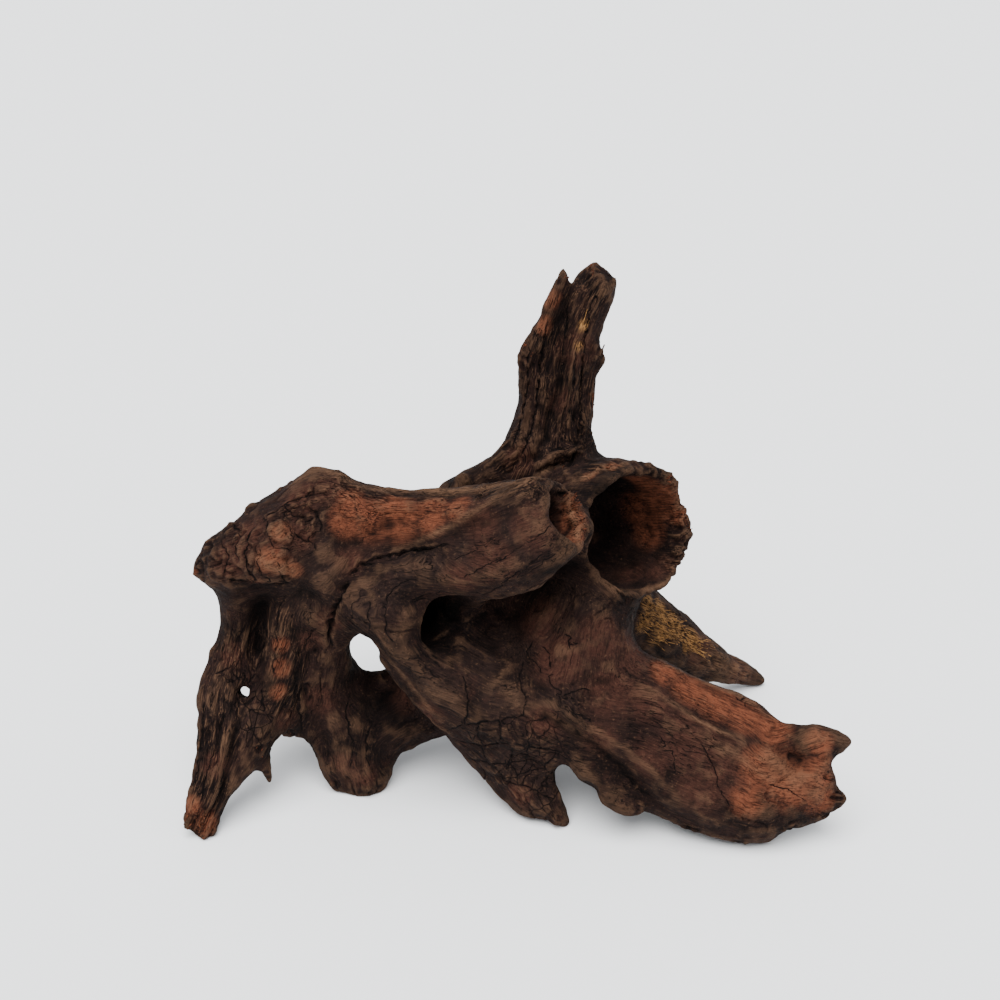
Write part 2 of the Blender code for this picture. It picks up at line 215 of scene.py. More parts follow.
PRESSES = {
    "arm_dish": (13.0, 3.5, [(350, 528), (385, 522), (430, 512), (470, 500)]),
    "arm_ridge": (3.5, -2.6, [(395, 549), (420, 540), (440, 530), (460, 520), (480, 508), (520, 487),
            (552, 468)]),
    "arm_top": (4.0, -1.6, [(344, 478), (365, 487), (400, 491), (440, 492), (490, 488), (530, 482)]),
    "arm_low": (9.0, 2.0, [(480, 552), (520, 530), (550, 508)]),
    "strap_edge": (7.0, -2.5, [(412, 596), (405, 618), (404, 642), (412, 664)]),
    "recess": (11.0, -7.0, [(444, 606), (438, 622), (442, 642)]),
    "recess_slope": (13.0, 6.0, [(480, 606), (486, 628), (474, 652)]),
    "root_dish": (15.0, 3.5, [(668, 668), (700, 692), (735, 712), (770, 728)]),
    "root_ridge": (3.5, -1.8, [(650, 690), (676, 706), (700, 721), (735, 736), (770, 748)]),
    "root_top": (3.0, -1.6, [(640, 641), (662, 661), (682, 670), (712, 684), (742, 697), (775, 719)]),
    "eye": (4.0, 4.0, [(785, 755), (796, 759), (806, 763)]),
    "under_groove": (3.5, 3.5, [(560, 722), (585, 738), (610, 758), (638, 784), (662, 806)]),
    "under_ridge": (4.0, -2.6, [(570, 716), (600, 732), (630, 752), (655, 775), (678, 800)]),
    "column_shadow": (8.0, 6.0, [(258, 590), (256, 612), (256, 640), (262, 662)]),
    "leg_groove": (3, 2.8, [(246, 702), (238, 728), (230, 755), (223, 785), (219, 812)]),
    "web_groove": (3.4, 2.4, [(331, 648), (316, 650), (305, 660), (303, 680), (306, 705)]),
    "lobe_groove": (5.1, 2.4, [(322, 690), (318, 715), (326, 745), (338, 770)]),
    "trunk_valley": (6.8, 2, [(505, 625), (498, 645), (486, 668)]),
    "trunk_swell": (12.0, -2.0, [(560, 640), (566, 668), (560, 700)]),
    "throat_valley": (9.0, 2.0, [(598, 640), (604, 668), (596, 692)]),
    "head_notch": (4.2, 2.4, [(236, 596), (258, 588), (282, 594)]),
    "spire_groove": (3.5, 3.0, [(566, 318), (563, 350), (556, 395), (548, 430), (536, 460)]),
    "spire_rib": (3.0, -1.8, [(578, 330), (574, 365), (570, 405), (566, 440)]),
    "flare_rib": (3.0, -1.6, [(528, 400), (520, 440), (508, 470)]),
    "flap": (3.0, -4.5, [(530, 470), (546, 461), (562, 453), (578, 450), (588, 457)]),
    "under_flap": (2.5, 3.0, [(548, 470), (562, 464), (578, 461)]),
}

# The swellings.
# Burls stand on the head and knuckles on the limbs, and the wood is full at the window's corner. Each has its
# column and row, its radius and its height in millimetres, straight out of the wood; minus is a dent.

SWELLINGS = [(226, 532, 4.5, 2.5), (251, 507, 4.0, 2.2), (313, 470, 5.0, 2.0), (208, 543, 4.0, 2.2),
             (197, 572, 4.0, 2.0), (281, 533, 8.0, 2.0), (305, 531, 6.5, 1.6), (272, 563, 7.0, 1.8),
             (290, 571, 5.5, 1.6), (318, 500, 7.0, 1.2), (244, 545, 6.0, 1.6), (232, 572, 6.0, 1.4),
             (340, 600, 8.0, 1.2), (310, 610, 8.0, 1.4), (383, 680, 7.0, 6.0), (560, 648, 5.0, 1.6),
             (548, 702, 7.0, 1.6), (598, 700, 5.0, 1.4), (640, 792, 6.0, 1.6), (470, 735, 6.0, 1.6),
             (520, 745, 8.0, 1.4), (760, 800, 9.0, 1.6), (820, 795, 6.0, 1.4), (240, 712, 6.0, 1.6),
             (258, 735, 5.0, 1.6), (205, 700, 6.0, 1.6), (214, 650, 4.0, 1.6), (206, 735, 5.0, -1.5),
             (345, 745, 9.0, 1.6), (330, 770, 5.0, 1.6), (538, 318, 4.0, 1.6), (525, 352, 4.0, 1.6),
             (604, 290, 4.0, 1.2), (640, 462, 4.0, -2.0), (684, 500, 4.0, 2.0), (690, 540, 4.0, 1.8),
             (672, 478, 4.0, 1.5), (462, 480, 4.0, 4.5), (600, 592, 10.0, 1.5), (500, 600, 9.0, 1.2)]

# Cracks.
# Drying split the wood along its grain, and the widest split frees the strap from the arm. Each crack is a
# line with its width and its depth in millimetres. Some also lift the wood on one side and sink the other.

CRACK_REACH = 9.0
LIP = 1.5
LIFT_FADE = 3.5
PAINTED_LIMIT = 3.0
PAINTED_REACH = (1.4, 2.4)
JAG = 0.9
JAG_LENGTH = 5.0
CRACK_LIFTS = {"fissure": 1.6, "fissure_down": -1.2, "arm_crack": 0.5, "bark_level": -0.4, "head_lip": -1.2}
CRACKS = {
    "fissure": (0.55, 3.0, [(452, 543), (430, 548), (408, 551), (388, 555), (370, 560), (354, 571),
            (349, 578)]),
    "fissure_down": (1.3, 4.5, [(349, 581), (340, 600), (333, 616), (330, 632), (333, 650)]),
    "fissure_twig": (0.7, 2.0, [(352, 574), (362, 566), (374, 563)]),
    "arm_crack": (0.5, 1.2, [(352, 547), (372, 535), (400, 524), (428, 517), (456, 508), (470, 505)]),
    "arm_low_one": (0.51, 0.72, [(462, 578), (484, 567), (505, 556), (524, 545)]),
    "arm_low_two": (0.51, 0.78, [(479, 597), (500, 586), (515, 574), (530, 564), (545, 552)]),
    "arm_low_three": (0.42, 0.58, [(498, 562), (518, 549), (540, 536), (552, 524)]),
    "arm_low_four": (0.42, 0.58, [(520, 577), (538, 566), (556, 553)]),
    "arm_low_five": (0.42, 0.48, [(455, 560), (478, 548), (494, 538)]),
    "strap_one": (0.51, 0.66, [(418, 579), (402, 583), (392, 590), (387, 600), (386, 614)]),
    "strap_two": (0.51, 0.78, [(434, 600), (418, 600), (404, 608), (397, 620), (400, 634)]),
    "strap_three": (0.51, 0.66, [(450, 592), (430, 594), (412, 600)]),
    "strap_four": (0.51, 0.58, [(370, 602), (368, 618), (370, 632)]),
    "strap_five": (0.51, 0.58, [(386, 612), (386, 628), (392, 642)]),
    "strap_six": (0.42, 0.48, [(362, 590), (354, 604), (350, 620)]),
    "trunk_one": (0.59, 0.84, [(462, 676), (467, 694), (467, 712), (464, 726)]),
    "trunk_two": (0.51, 0.78, [(533, 640), (527, 652), (538, 664), (541, 674)]),
    "trunk_three": (0.59, 0.84, [(541, 645), (549, 652), (552, 664), (550, 678), (556, 690), (560, 704),
            (557, 720)]),
    "trunk_four": (0.51, 0.66, [(569, 640), (570, 658), (573, 674)]),
    "trunk_five": (0.51, 0.66, [(556, 690), (568, 694), (580, 690), (592, 692)]),
    "trunk_six": (0.59, 0.78, [(490, 622), (486, 636), (484, 652)]),
    "trunk_seven": (0.51, 0.66, [(503, 628), (498, 642)]),
    "trunk_eight": (0.51, 0.66, [(565, 634), (572, 640), (575, 648)]),
    "trunk_nine": (0.51, 0.66, [(525, 660), (520, 680), (526, 700), (522, 716)]),
    "trunk_ten": (0.51, 0.66, [(560, 702), (568, 712), (580, 716), (592, 722)]),
    "trunk_eleven": (0.51, 0.58, [(478, 610), (476, 628), (482, 640)]),
    "bark_level": (0.68, 0.96, [(446, 731), (462, 726), (480, 722), (500, 719), (520, 716), (534, 722),
            (548, 716)]),
    "bark_low": (0.68, 0.96, [(455, 740), (480, 745), (505, 743), (530, 746), (556, 752), (572, 762)]),
    "bark_mid": (0.59, 0.84, [(462, 758), (484, 762), (508, 764), (530, 760), (548, 770)]),
    "bark_foot": (0.59, 0.84, [(505, 782), (522, 786), (540, 792), (556, 800)]),
    "bark_up_one": (0.59, 0.84, [(480, 722), (478, 734), (483, 745)]),
    "bark_up_two": (0.59, 0.84, [(500, 719), (502, 732), (499, 743)]),
    "bark_up_three": (0.59, 0.84, [(528, 719), (526, 733), (530, 745), (526, 760)]),
    "bark_up_four": (0.59, 0.84, [(480, 745), (488, 760), (500, 772), (504, 784)]),
    "bark_up_five": (0.59, 0.84, [(556, 752), (545, 766), (528, 774), (522, 786)]),
    "bark_up_six": (0.59, 0.84, [(540, 792), (546, 778), (560, 770)]),
    "bark_up_seven": (0.59, 0.84, [(510, 744), (512, 756), (506, 770)]),
    "root_split": (0.9, 2.0, [(822, 778), (830, 780), (840, 780)]),
    "nick_one": (0.7, 1.8, [(694, 694), (704, 696)]),
    "nick_two": (0.7, 1.8, [(694, 699), (705, 701)]),
    "nick_three": (0.7, 1.6, [(695, 704), (703, 706)]),
    "nick_four": (0.8, 2.0, [(736, 702), (746, 696)]),
    "under_crack": (0.8, 2.6, [(574, 732), (600, 750), (622, 772), (645, 795)]),
    "root_crack_one": (0.51, 0.78, [(700, 742), (712, 762), (718, 785), (730, 806)]),
    "root_crack_two": (0.51, 0.66, [(660, 735), (672, 752), (676, 775)]),
    "root_crack_three": (0.51, 0.66, [(770, 785), (790, 792), (806, 800)]),
    "head_one": (0.77, 1.7, [(282, 512), (287, 522), (293, 533), (298, 538), (308, 542), (316, 548)]),
    "head_two": (0.77, 1.5, [(268, 520), (267, 532), (271, 541), (280, 548), (292, 551)]),
    "head_three": (0.68, 1.3, [(306, 545), (313, 534), (320, 527), (318, 514), (308, 505)]),
    "head_four": (0.77, 1.5, [(256, 526), (249, 540), (246, 556), (250, 572), (258, 582)]),
    "head_five": (0.68, 1.4, [(279, 560), (281, 572), (286, 582)]),
    "head_six": (0.77, 1.3, [(262, 520), (272, 514), (284, 506), (300, 499), (312, 492)]),
    "head_seven": (0.68, 1.3, [(222, 540), (228, 556), (224, 574)]),
    "head_eight": (0.68, 1.3, [(262, 548), (257, 562), (262, 574), (272, 582)]),
    "head_nine": (0.59, 1.1, [(284, 506), (294, 515), (306, 518)]),
    "head_lip": (1, 2.4, [(224, 580), (240, 580), (256, 583), (272, 584), (290, 582)]),
    "head_edge": (0.77, 1.4, [(234, 524), (241, 536), (236, 550), (240, 562)]),
    "leg_one": (0.68, 1.1, [(256, 636), (260, 655), (256, 672), (249, 684)]),
    "leg_two": (0.68, 1.1, [(238, 640), (240, 658), (232, 672), (240, 682)]),
    "leg_three": (0.68, 0.84, [(216, 672), (228, 668), (236, 660)]),
    "leg_four": (0.68, 0.96, [(262, 690), (264, 708), (272, 722)]),
    "leg_five": (0.68, 0.96, [(248, 712), (262, 714), (274, 712)]),
    "leg_six": (0.68, 0.96, [(246, 722), (256, 736), (262, 748)]),
    "leg_seven": (0.68, 0.84, [(222, 690), (224, 715), (216, 745), (206, 780), (202, 805)]),
    "leg_eight": (0.59, 0.78, [(204, 700), (203, 730), (198, 760), (194, 790)]),
    "leg_nine": (0.59, 0.84, [(234, 728), (228, 755), (220, 785), (214, 812)]),
    "web_one": (0.85, 1.3, [(303, 645), (300, 660), (296, 676), (298, 700), (302, 732)]),
    "web_two": (0.68, 0.96, [(316, 628), (306, 640), (304, 654)]),
    "web_three": (0.59, 0.84, [(280, 600), (278, 625), (276, 650), (274, 676)]),
    "spire_one": (0.8, 2.4, [(568, 300), (566, 330), (560, 372), (553, 410), (545, 440)]),
    "spire_two": (0.7, 2.0, [(590, 300), (586, 335), (582, 375), (580, 420), (584, 446)]),
    "spire_three": (0.7, 2.0, [(548, 320), (542, 352), (538, 385), (532, 425), (520, 462)]),
    "spire_four": (0.7, 1.8, [(576, 345), (573, 385), (567, 425)]),
    "spire_five": (0.7, 1.8, [(528, 345), (529, 375), (524, 410), (512, 450)]),
    "lobe_one": (0.59, 0.84, [(350, 690), (346, 715), (352, 742), (350, 770)]),
    "lobe_two": (0.59, 0.78, [(372, 720), (366, 745), (370, 768)]),
}

# The knots.
# Two old branch knots lie in the head, ringed like targets, and small ones in the trunk: column, row, radius.

KNOTS = [(281, 533, 7.0), (305, 527, 6.5), (270, 563, 6.0), (287, 571, 5.0), (428, 560, 2.0), (592, 693, 3.0)]
KNOT_RING = 2.6
KNOT_HEIGHT = 0.6

log_points = points_of(log.data)
for width, depth, corners in PRESSES.values():
    which, distance, _, along = beside(log_points, drawn(corners), 2.2 * width)
    fade = fading(along, 5.0, 0.35)
    log_points[which] += AHEAD * (depth * fade * bell(distance, width))[:, None]
place_points(log.data, log_points)
log_normals = normals_of(log.data)
for column, row, radius, rise in SWELLINGS:
    middle = seen(column, row)
    if middle is not None:
        away = np.linalg.norm(log_points - middle, axis=1)
        log_points += log_normals * (rise * bell(away, radius))[:, None]


def wave(places, size, seed):
    """Smooth noise from about -1 to 1; size is a wave's width in millimetres, one number or one each way."""
    scaled = places / np.array(size, float) + seed * 13.7
    return np.array([noise.noise(Vector(place)) for place in scaled]) * 1.9


def jagged(points):
    """The points shifted a little to and fro, so that what is measured from them comes out jagged."""
    return points + JAG * np.stack([wave(points, JAG_LENGTH, seed) for seed in (21, 22, 23)], axis=1)


def crack_depths(points):
    """How far each point is cut down and how far it is lifted by the cracks, in millimetres."""
    depths = np.zeros(len(points))
    lifts = np.zeros(len(points))
    shifted = jagged(points)
    for name, (width, depth, corners) in CRACKS.items():
        which, distance, side, along = beside(shifted, drawn(corners), CRACK_REACH)
        fade = fading(along, 6.0)
        notch = fade * bell(distance, width)
        depths[which] = np.maximum(depths[which], depth * notch)
        if name in CRACK_LIFTS:
            lip = np.clip(side / LIP, -1.0, 1.0) * np.exp(-distance / LIFT_FADE)
            lifts[which] += CRACK_LIFTS[name] * fade * lip
    return depths, lifts


def crack_gaps(points):
    """The nearest crack's distance in its own widths, signed by side, and how much the crack counts."""
    nearest = np.full(len(points), np.inf)
    gaps = np.zeros(len(points))
    shares = np.zeros(len(points))
    shifted = jagged(points)
    for width, _, corners in CRACKS.values():
        which, distance, side, along = beside(shifted, drawn(corners), PAINTED_LIMIT)
        closer = distance < nearest[which]
        which, distance, side, along = (each[closer] for each in (which, distance, side, along))
        nearest[which] = distance
        gaps[which] = np.sign(side) * distance / width
        shares[which] = fading(along, 8.0) * (1.0 - step_up(distance, *PAINTED_REACH))
    return gaps, shares


depths, lifts = crack_depths(log_points)
log_points += log_normals * (lifts - depths)[:, None]
for column, row, radius in KNOTS:
    away = np.linalg.norm(log_points - seen(column, row), axis=1)
    ring = np.cos(2.0 * math.pi * away / KNOT_RING) * bell(away, radius)
    log_points += log_normals * (KNOT_HEIGHT * ring)[:, None]

# The grain.
# The wood's fibres run along each limb and turn where one limb grows out of another. The routes are the
# limbs' middles in millimetres, with half the limb's thickness last, and are blended where limbs meet.

MEASURED_FROM = np.array([-0.6, -11.0, 0.0])
ROUTES = {
    "arm": [(-163, -8, 143, 29), (-100, -14, 162, 36), (-39, -32, 168, 34), (-10, -44, 178, 33),
            (26, -64, 205, 23)],
    "brow": [(-192, -8, 138, 10), (-165, -12, 148, 28), (-119, -12, 167, 33)],
    "outer_leg": [(-199, -87, 3, 5), (-187, -68, 34, 11), (-181, -44, 76, 13), (-167, -14, 130, 18)],
    "inner_leg": [(-187, -90, -2, 5), (-166, -55, 43, 13), (-148, -34, 76, 17), (-133, -14, 122, 26)],
    "web": [(-137, -26, 35, 13), (-126, -24, 61, 20), (-118, -21, 94, 21), (-113, -20, 129, 26)],
    "lobe_fall": [(-99, -38, -2, 15), (-104, -32, 29, 21), (-114, -22, 54, 20), (-125, -8, 82, 18)],
    "lobe_rise": [(-102, -30, 29, 20), (-77, -16, 42, 23), (-52, 2, 41, 25), (-23, 15, 60, 30)],
    "trunk": [(-76, -20, 132, 33), (-48, -28, 101, 37), (-16, -34, 76, 40), (27, -42, 65, 40),
              (72, -54, 56, 39), (111, -68, 45, 36), (143, -80, 37, 31), (168, -86, 41, 21),
              (190, -88, 36, 11)],
    "strap": [(-20, -52, 158, 24), (-66, -46, 160, 26), (-100, -34, 148, 26), (-104, -36, 128, 24),
              (-84, -42, 108, 25), (-44, -42, 92, 26)],
    "throat": [(54, 0, 132, 28), (40, -22, 110, 34), (36, -36, 84, 42)],
    "centre_foot": [(-17, -38, 53, 29), (-3, -50, 31, 22), (11, -64, 15, 16), (31, -79, -2, 6)],
    "cup": [(30, 44, 137, 43), (52, 12, 157, 44), (77, -16, 171, 41)],
    "spire": [(14, 44, 159, 31), (19, 50, 191, 23), (23, 52, 218, 20), (32, 55, 266, 17), (51, 56, 310, 9)],
    "splinter": [(13, 50, 260, 9), (32, 50, 314, 4)],
    "flare": [(2, 45, 194, 13), (-15, 42, 180, 10), (-48, 30, 163, 10)],
    "fin": [(58, 18, 95, 29), (91, 40, 67, 22), (121, 55, 41, 16), (181, 80, 1, 5)],
    "crown": [(-76, 4, 126, 32), (-23, 14, 112, 38), (29, 20, 99, 38), (54, 12, 90, 29)],
    "rear_root": [(-110, 6, 122, 25), (-134, 32, 74, 17), (-153, 57, -3, 8)],
    "prong": [(148, -84, 54, 15), (177, -78, 64, 10), (201, -75, 57, 5)],
}
ROUTE_STEP = 7.0
LIMB_SHARPNESS = 7.0
LEAST_SHARED = 5.0


def route_steps(route):
    """Points every few millimetres along the route, with its thickness, and the distance travelled."""
    corners = np.array(route, float)
    along = np.concatenate([[0.0], np.cumsum(np.linalg.norm(np.diff(corners[:, :3], axis=0), axis=1))])
    wanted = np.linspace(0.0, along[-1], max(3, int(along[-1] / ROUTE_STEP) + 1))
    return np.stack([np.interp(wanted, along, corners[:, axis]) for axis in range(4)], axis=1), wanted


def limb_places(points):
    """For each limb, how near the points are in thicknesses, their places in its own axes, and its way."""
    nearness = []
    places = []
    ways = []
    for route in ROUTES.values():
        steps, travelled = route_steps(route)
        ahead = unit(np.gradient(steps[:, :3], axis=0))
        across = unit(np.cross(ahead, -AHEAD))
        through = np.cross(across, ahead)
        nearest = np.zeros(len(points), int)
        best = np.full(len(points), np.inf)
        for number, step in enumerate(steps):
            reach = np.linalg.norm(points - step[:3], axis=1) / step[3]
            closer = reach < best
            best[closer] = reach[closer]
            nearest[closer] = number
        gap = points - steps[nearest, :3]
        frame_here = (across[nearest], through[nearest], ahead[nearest])
        place = np.stack([(gap * axis).sum(axis=1) for axis in frame_here], axis=1)
        place[:, 2] += travelled[nearest]
        nearness.append(best)
        places.append(place)
        ways.append(ahead[nearest])
    return np.array(nearness), np.array(places), np.array(ways)


def join_offsets(weights, places):
    """How far to shift each limb's measures, so that they agree as well as they can where limbs meet."""
    limbs = len(weights)
    rows = list(np.eye(limbs) * 0.01)
    wanted = list(np.zeros((limbs, 3)))
    for one in range(limbs):
        for other in range(one + 1, limbs):
            shared = weights[one] * weights[other]
            total = shared.sum()
            if total < LEAST_SHARED:
                continue
            row = np.zeros(limbs)
            row[one] = math.sqrt(total)
            row[other] = -row[one]
            rows.append(row)
            apart = ((places[other] - places[one]) * shared[:, None]).sum(axis=0) / total
            wanted.append(apart * row[one])
    return np.linalg.lstsq(np.array(rows), np.array(wanted), rcond=None)[0]


def grain_of(points):
    """Each point's place across, through and along the fibres in millimetres, and the fibres' way there."""
    nearness, places, ways = limb_places(points + MEASURED_FROM)
    weights = np.exp(-LIMB_SHARPNESS * (nearness - nearness.min(axis=0)))
    weights /= weights.sum(axis=0)
    places += join_offsets(weights, places)[:, None, :]
    return (weights[:, :, None] * places).sum(axis=0), unit((weights[:, :, None] * ways).sum(axis=0) + 1e-9)


# The relief.
# Fibrous limbs are fluted, broken rims are torn, and the bark left on the foot and the leg has cracked into
# plates. The places are column, row and radius in millimetres, and the heights are in millimetres.

FIBROUS = [(585, 300, 14), (556, 340, 16), (560, 385, 20), (562, 430, 22), (520, 455, 18), (590, 400, 14),
           (225, 700, 16), (218, 740, 16), (208, 790, 14), (205, 820, 12), (238, 660, 14), (288, 660, 14),
           (290, 700, 14), (280, 620, 12), (262, 640, 12), (345, 482, 13), (390, 492, 12), (440, 494, 12),
           (490, 490, 12), (530, 484, 10), (712, 660, 12), (740, 672, 10), (680, 520, 12), (676, 560, 12),
           (668, 622, 12), (690, 640, 10), (645, 606, 10), (592, 470, 8), (615, 465, 8)]
TORN = [(572, 500, 10), (575, 530, 9), (560, 478, 8), (684, 515, 8), (686, 545, 9), (678, 566, 7),
        (590, 275, 7), (560, 280, 6), (204, 826, 9), (838, 770, 5), (836, 800, 6), (292, 733, 6),
        (262, 748, 6), (598, 350, 6), (597, 395, 6), (600, 470, 6), (640, 466, 7), (200, 575, 5),
        (560, 464, 6), (672, 480, 7), (650, 467, 7), (610, 265, 6), (188, 820, 7), (502, 778, 5),
        (520, 797, 5), (556, 820, 4), (640, 808, 5), (690, 828, 5), (740, 842, 5), (790, 828, 5),
        (335, 786, 4), (365, 786, 4), (522, 360, 6), (592, 430, 6)]
PLATED = [(505, 742, 18), (540, 745, 16), (520, 765, 14), (545, 795, 14), (476, 735, 12), (250, 700, 14),
          (258, 730, 12), (238, 680, 10), (500, 775, 10)]
KNOTTED = [(250, 509, 7), (232, 526, 7), (212, 542, 7), (201, 562, 7), (286, 486, 6), (240, 550, 16),
           (270, 540, 18), (300, 520, 15), (222, 562, 12), (318, 496, 9), (285, 570, 10)]
GROUND = 0.0


def cell_edge(places, size):
    """0 on the cracks between plates of this size, rising to about 1 in their middles."""
    gaps = np.empty(len(places))
    for number, place in enumerate(places / np.array(size, float)):
        distances, _ = noise.voronoi(Vector(place))
        gaps[number] = distances[1] - distances[0]
    return gaps


fibrous = spots(log_points, FIBROUS)
torn = spots(log_points, TORN)
plated = spots(log_points, PLATED)
knotted = spots(log_points, KNOTTED)
calm = 1.0 - 0.75 * np.maximum(plated, knotted)
bend = np.stack([wave(log_points, 22.0, seed) for seed in (1, 2, 3)], axis=1)
strands = grain_of(log_points)[0] + bend * np.array([1.8, 1.8, 0.0])

flutes = wave(strands, (8.0, 8.0, 90.0), 4)
ridges = 1.0 - 2.0 * np.abs(wave(strands, (4.5, 4.5, 55.0), 5))
threads = wave(strands, (2.8, 2.8, 30.0), 6)
lumps = wave(log_points, 19.0, 7)
crumbs = wave(log_points, 4.2, 8)
knuckles = wave(log_points, 8.5, 13)
height = calm * ((0.3 + 1.0 * fibrous) * flutes + (0.08 + 0.6 * fibrous) * ridges)
height += calm * (0.08 + 0.3 * fibrous) * threads + 0.5 * lumps + (0.4 + 0.5 * knotted) * knuckles
height += (0.2 + 1.0 * torn + 0.8 * knotted) * crumbs + 0.8 * torn * ridges

split = np.abs(wave(strands, (10.0, 10.0, 80.0), 9)) / (0.05 + 0.05 * fibrous)
splits = np.exp(-(split**2)) * step_up(wave(log_points, 30.0, 10), 0.05, 0.5) * calm
tiles = cell_edge(strands + 2.2 * bend, (8.0, 8.0, 11.0))
lumpy_tiles = cell_edge(log_points + 3.5 * bend, (9.0, 9.0, 9.0))
plate_cracks = plated * (1.0 - step_up(tiles, 0.02, 0.13))
plate_cracks *= step_up(wave(log_points, 12.0, 11), -0.5, 0.1)
knot_cracks = knotted * (1.0 - step_up(lumpy_tiles, 0.01, 0.11))
knot_cracks *= step_up(wave(log_points, 12.0, 12), -0.3, 0.2)
height += plated * 0.3 * step_up(tiles, 0.0, 0.3) + knotted * 1.0 * step_up(lumpy_tiles, 0.0, 0.45)
height -= 1.1 * np.maximum(splits, np.maximum(0.4 * plate_cracks, knot_cracks))
log_points += normals_of(log.data) * height[:, None]
log_points[:, 2] = np.maximum(log_points[:, 2], GROUND)
place_points(log.data, log_points)

thinning = log.modifiers.new("thinning", "DECIMATE")
log.data.calc_loop_triangles()
thinning.ratio = min(1.0, SKIN_TRIANGLES / len(log.data.loop_triangles))
evaluated(log)
log.data.shade_smooth()

# The wood's colouring.
# Worn places show the red-brown heart, and rubbed edges are tan; the tan lines also paint highlights on the
# ridges and rims that face the light. Painted shade turns the recesses, creases and hollows near black. The
# fibres at the low rear root and on the spire are torn to straw. The places are column, row and radius in
# millimetres.

WORN_RED = [(348, 520, 11), (372, 520, 13), (400, 520, 13), (428, 514, 12), (455, 505, 9), (392, 503, 9),
            (352, 500, 8), (665, 672, 9), (690, 688, 12), (718, 702, 13), (745, 716, 12), (772, 730, 11),
            (790, 780, 17), (818, 775, 12), (762, 768, 13), (820, 742, 9), (748, 800, 10), (640, 480, 10),
            (662, 492, 11), (674, 515, 8), (573, 522, 8), (578, 538, 6), (552, 300, 6), (545, 326, 6),
            (594, 398, 5), (594, 430, 5), (281, 645, 5), (281, 668, 6), (279, 692, 5), (205, 824, 8),
            (192, 806, 6), (590, 474, 5), (612, 466, 5), (820, 800, 10), (650, 486, 12), (658, 504, 13),
            (640, 508, 12), (650, 530, 12), (272, 562, 9), (292, 570, 6), (281, 533, 6), (197, 574, 5),
            (576, 520, 7), (572, 505, 6)]
WARM = [(600, 640, 14), (630, 655, 14), (612, 690, 16), (650, 700, 14), (690, 740, 18), (730, 770, 18),
        (700, 790, 14), (650, 760, 12), (600, 740, 10), (272, 560, 12), (300, 535, 10), (255, 580, 6),
        (362, 775, 9), (345, 765, 8), (215, 765, 8), (286, 720, 8), (320, 700, 10), (330, 620, 9),
        (310, 640, 8), (520, 795, 8), (545, 720, 10), (350, 560, 8), (480, 520, 12), (500, 560, 10),
        (520, 460, 10), (575, 350, 12), (560, 400, 8), (232, 655, 8), (400, 700, 10), (430, 715, 10),
        (700, 650, 12), (740, 672, 12), (490, 560, 14), (530, 530, 14), (460, 580, 10), (550, 510, 10),
        (250, 540, 14), (230, 560, 12), (300, 500, 12), (330, 490, 10), (560, 660, 16), (540, 620, 14),
        (630, 575, 10), (660, 570, 10)]
DUSTY = [(375, 600, 13), (360, 615, 9), (400, 572, 10), (430, 565, 10), (470, 556, 12), (510, 545, 14),
         (540, 522, 12), (480, 600, 14), (520, 590, 14), (560, 590, 12), (590, 600, 10), (520, 640, 16),
         (480, 660, 14), (500, 700, 14), (560, 700, 12), (510, 760, 14), (540, 790, 14), (225, 700, 14),
         (245, 722, 11), (310, 520, 10), (318, 545, 8), (300, 600, 12), (320, 570, 9), (240, 550, 12),
         (440, 690, 14), (700, 655, 12), (735, 670, 10), (540, 440, 12)]
